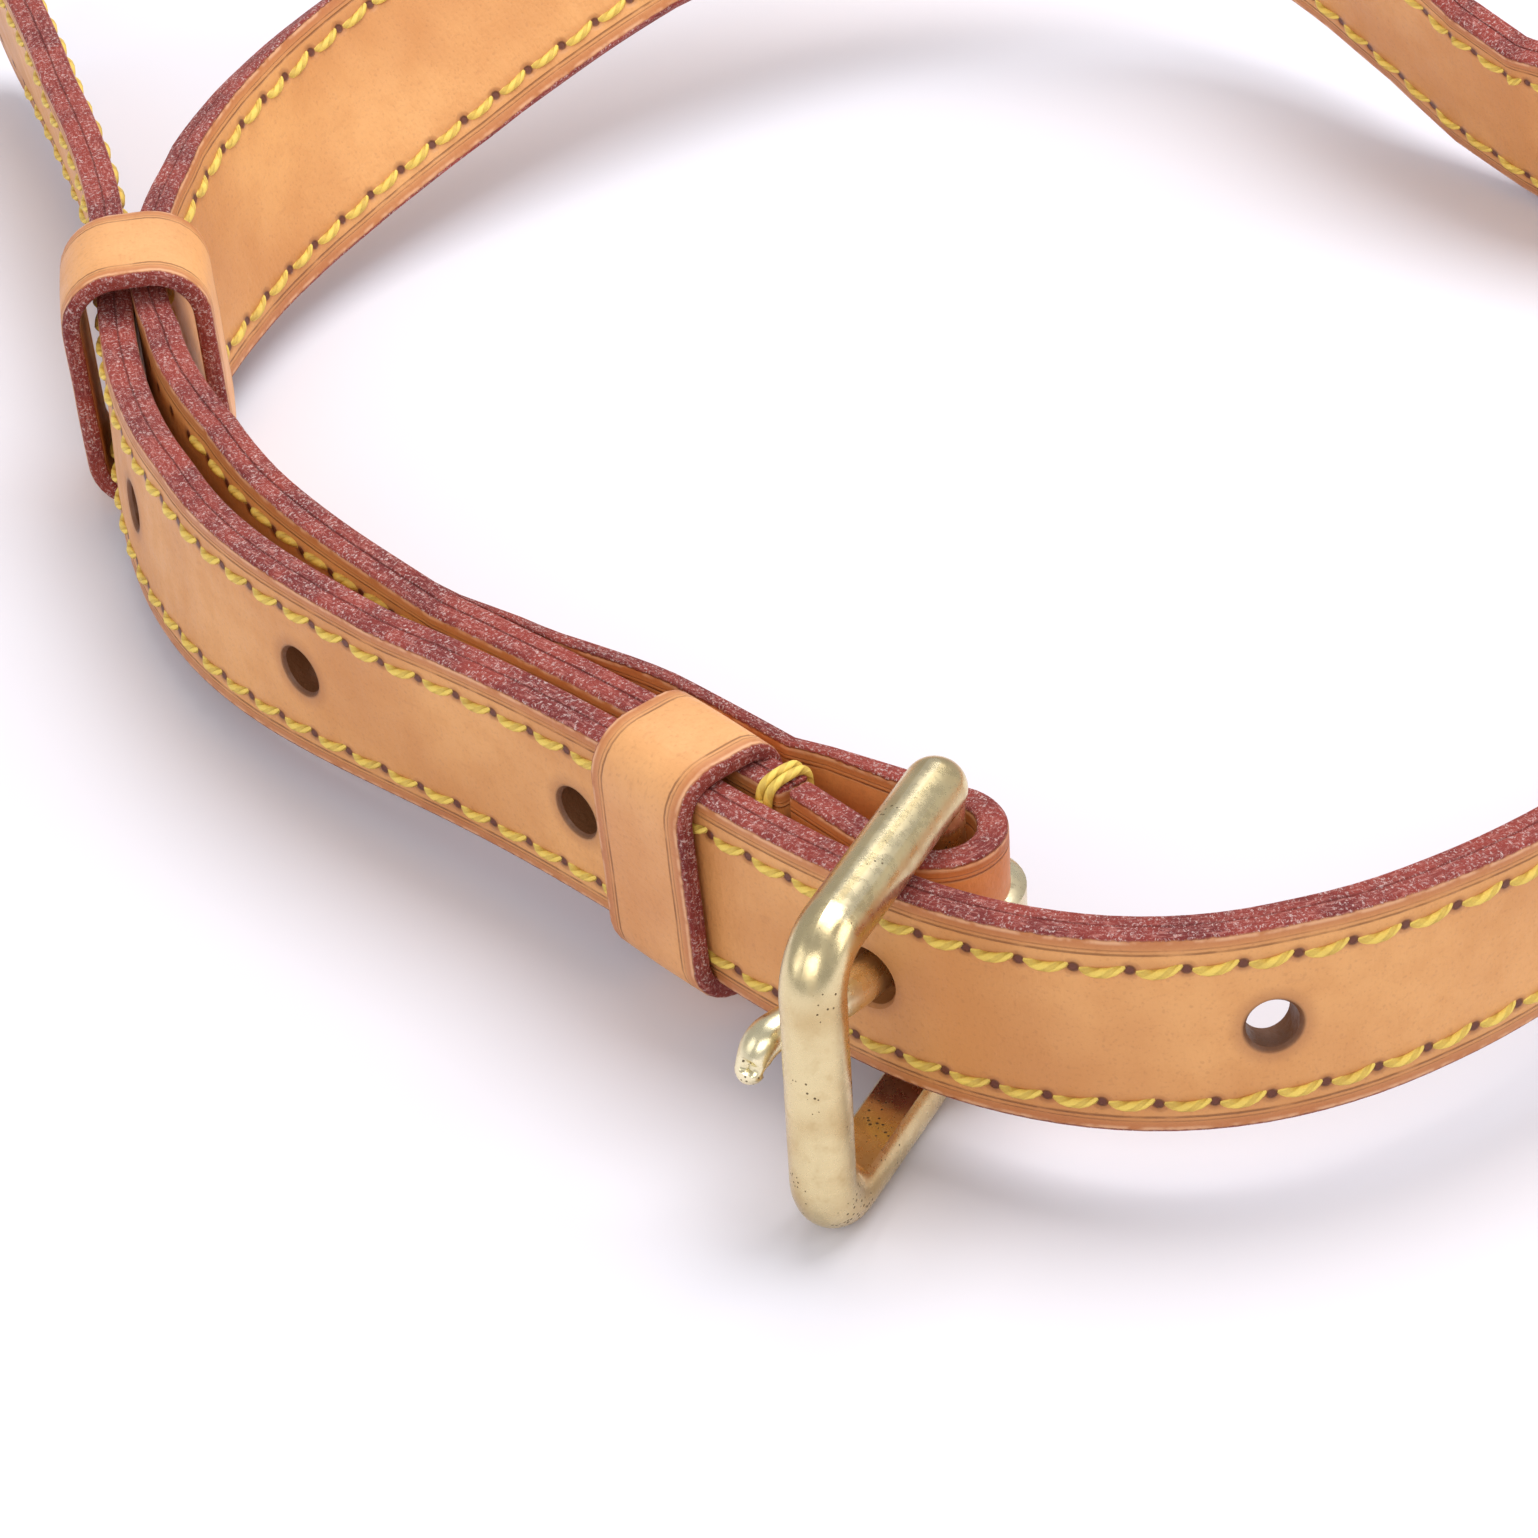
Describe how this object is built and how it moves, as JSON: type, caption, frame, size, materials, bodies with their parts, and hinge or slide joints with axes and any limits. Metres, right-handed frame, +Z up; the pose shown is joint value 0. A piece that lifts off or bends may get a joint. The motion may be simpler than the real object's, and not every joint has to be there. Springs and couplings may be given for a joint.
{
  "type": "saxophone neck strap",
  "caption": "Stitched leather neck strap with holed end, heel-bar buckle, fixed and sliding keepers, and a brass swivel snap hook on a ring.",
  "frame": {"origin": "centre of the bounding box in plan, on the floor the strap stands on", "axes": "+X from the free billet tip side to the snap hook, +Z up; the strap stands on its edge"},
  "size_m": [0.4594, 0.1759, 0.0297],
  "materials": {
    "strap_leather": "smooth tan, dark red painted edges",
    "keeper_leather": "smooth tan, dark red painted edges",
    "thread": "waxed twisted yellow thread",
    "brass": "worn pale polish",
    "spring_steel": "plain"
  },
  "bodies": {
    "straps": {"billet_outer_leather": "strap_leather", "billet_lining": "strap_leather", "billet_stitching": "thread", "buckle_strap_outer_leather": "strap_leather", "buckle_strap_lining": "strap_leather", "buckle_strap_stitching": "thread", "buckle_turn": "strap_leather", "buckle_tack_thread": "thread", "fixed_keeper": "keeper_leather", "ring_tab": "strap_leather", "ring_tab_thread": "thread"},
    "keeper_slider": {"sliding_keeper": "keeper_leather"},
    "frame": {"buckle_frame": "brass"},
    "tongue": {"buckle_tongue": "brass"},
    "ring": {"hook_ring": "brass"},
    "swivel": {"swivel_eye": "brass"},
    "hook": {"hook_body": "brass", "gate_pin": "brass", "gate_spring": "spring_steel"},
    "gate": {"hook_gate": "brass"}
  },
  "joints": [
    {"name": "keeper_slide", "type": "slide", "parent": "straps", "child": "keeper_slider", "axis": [0.0667, -0.9978, 0], "range_m": [0, 0.006]},
    {"name": "frame_swing", "type": "hinge", "parent": "straps", "child": "frame", "pos_m": [-0.15241, -0.06791, 0.0132], "axis": [0, 0, 1], "range_deg": [-3, 46]},
    {"name": "tongue_play", "type": "hinge", "parent": "straps", "child": "tongue", "pos_m": [-0.15241, -0.06791, 0.0132], "axis": [0, 0, 1], "range_deg": [-1.5, 1.5]},
    {"name": "ring_swing", "type": "hinge", "parent": "straps", "child": "ring", "pos_m": [0.17652, -0.01162, 0.012], "axis": [0, 0, 1], "range_deg": [-60, 60]},
    {"name": "eye_swing", "type": "hinge", "parent": "ring", "child": "swivel", "pos_m": [0.19112, -0.01162, 0.0072], "axis": [0, 0, 1], "range_deg": [-60, 60]},
    {"name": "hook_spin", "type": "hinge", "parent": "swivel", "child": "hook", "pos_m": [0.20111, -0.01162, 0.0072], "axis": [1, 0, 0], "continuous": true},
    {"name": "gate_open", "type": "hinge", "parent": "hook", "child": "gate", "pos_m": [0.20722, -0.00342, 0.0072], "axis": [0, 0, 1], "range_deg": [-28, 0], "stiffness_Nm_per_rad": 0.01, "springref_deg": 8.59}
  ]
}
